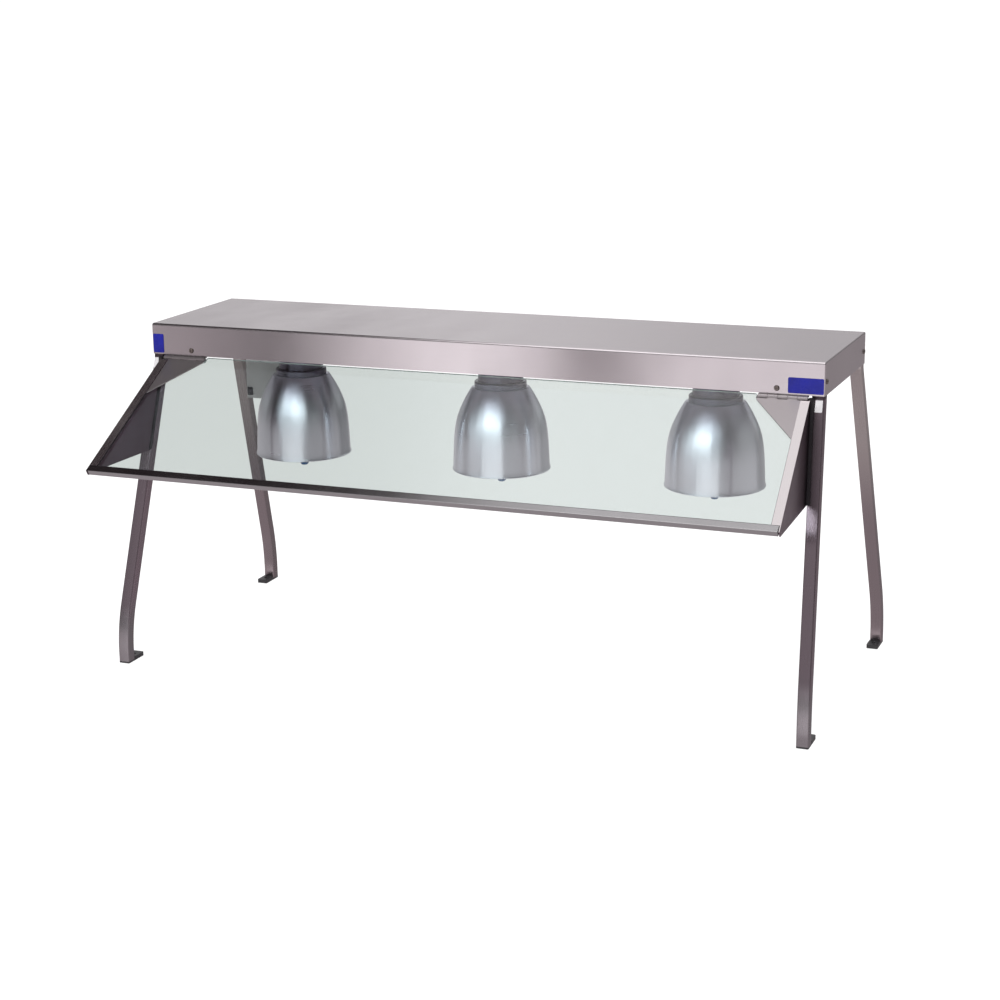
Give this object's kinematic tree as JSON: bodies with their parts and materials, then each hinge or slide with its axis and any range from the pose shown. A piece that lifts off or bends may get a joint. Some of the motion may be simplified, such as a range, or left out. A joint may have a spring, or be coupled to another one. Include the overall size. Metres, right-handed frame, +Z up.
{
  "type": "buffet shelf with sneeze guard",
  "caption": "Stainless steel counter shelf on splayed square legs, with a tilting glass sneeze guard along its front and hanging heat lamps beneath, for keeping plated food warm.",
  "frame": {"origin": "on the counter, at the centre of the four screw holes in the feet", "axes": "+X along the shelf to the guest's right, -Y towards the guest and the guard, +Z up"},
  "size_m": [1.24, 0.6732, 0.585],
  "materials": {
    "stainless_shelf": "brushed along the shelf's length",
    "stainless_legs": "brushed along the tube",
    "stainless_guard": "brushed",
    "galvanised_sheet": "dull grey sheet",
    "black_foot": "moulded, fine grain",
    "black_rubber": "extruded rubber",
    "white_nylon": "nylon",
    "screw_steel": "bright zinc",
    "pin_steel": "ground pin",
    "clear_glass": "clear float glass",
    "spun_aluminium": "spun, satin",
    "canopy_aluminium": "spun, satin",
    "threaded_tube": "threaded tube",
    "white_ceramic": "porcelain",
    "bulb_glass": "bulb glass, silvered towards the neck",
    "bulb_cap_metal": "screw cap",
    "grey_paint": "grey powder coat",
    "black_gloss": "moulded",
    "grey_gland": "nylon gland",
    "terminal_nylon": "nylon terminal strip",
    "silicone_sleeve": "silicone sleeve",
    "blue_plate": "plain blue plate"
  },
  "bodies": {
    "root": {"shelf_tray": "stainless_shelf", "wiring_channel": "galvanised_sheet", "leg_front_left": "stainless_legs", "leg_front_right": "stainless_legs", "leg_rear_left": "stainless_legs", "leg_rear_right": "stainless_legs", "foot_front_left": "black_foot", "foot_front_right": "black_foot", "foot_rear_left": "black_foot", "foot_rear_right": "black_foot", "leg_bolts": "screw_steel", "leg_pads": "white_nylon", "hinge_leaf_left": "stainless_guard", "hinge_leaf_right": "stainless_guard", "hinge_pin_left": "pin_steel", "hinge_pin_right": "pin_steel", "hinge_screws": "screw_steel", "stud_nuts": "screw_steel", "lamp_shade_1": "spun_aluminium", "lamp_canopy_1": "canopy_aluminium", "lamp_stem_1": "threaded_tube", "lamp_holder_1": "white_ceramic", "shade_ring_1": "white_ceramic", "heat_bulb_1": "bulb_glass", "bulb_cap_1": "bulb_cap_metal", "lamp_shade_2": "spun_aluminium", "lamp_canopy_2": "canopy_aluminium", "lamp_stem_2": "threaded_tube", "lamp_holder_2": "white_ceramic", "shade_ring_2": "white_ceramic", "heat_bulb_2": "bulb_glass", "bulb_cap_2": "bulb_cap_metal", "lamp_shade_3": "spun_aluminium", "lamp_canopy_3": "canopy_aluminium", "lamp_stem_3": "threaded_tube", "lamp_holder_3": "white_ceramic", "shade_ring_3": "white_ceramic", "heat_bulb_3": "bulb_glass", "bulb_cap_3": "bulb_cap_metal", "stem_nuts": "screw_steel", "control_box": "grey_paint", "box_cover": "grey_paint", "cover_screws": "screw_steel", "switch_body": "black_gloss", "cable_gland": "grey_gland", "gland_nut": "grey_gland", "terminal_block": "terminal_nylon", "wiring_loom": "silicone_sleeve", "blank_plate_left": "blue_plate", "blank_plate_right": "blue_plate"},
    "guard": {"guard_glass": "clear_glass", "glazing_strip": "black_rubber", "guard_rail": "stainless_guard", "end_panel_left": "stainless_guard", "end_panel_right": "stainless_guard", "edge_trim_left": "black_rubber", "edge_trim_right": "black_rubber", "corner_leaf_left": "stainless_guard", "corner_leaf_right": "stainless_guard"},
    "rocker": {"switch_rocker": "black_gloss"}
  },
  "joints": [
    {"name": "guard_tilt", "type": "hinge", "parent": "root", "child": "guard", "pos_m": [0, -0.1498, 0.5265], "axis": [-1, 0, 0], "range_deg": [0, 75]},
    {"name": "switch_rocker", "type": "hinge", "parent": "root", "child": "rocker", "pos_m": [-0.5353, 0.0846, 0.421], "axis": [-1, 0, 0], "range_deg": [0, 16]}
  ]
}
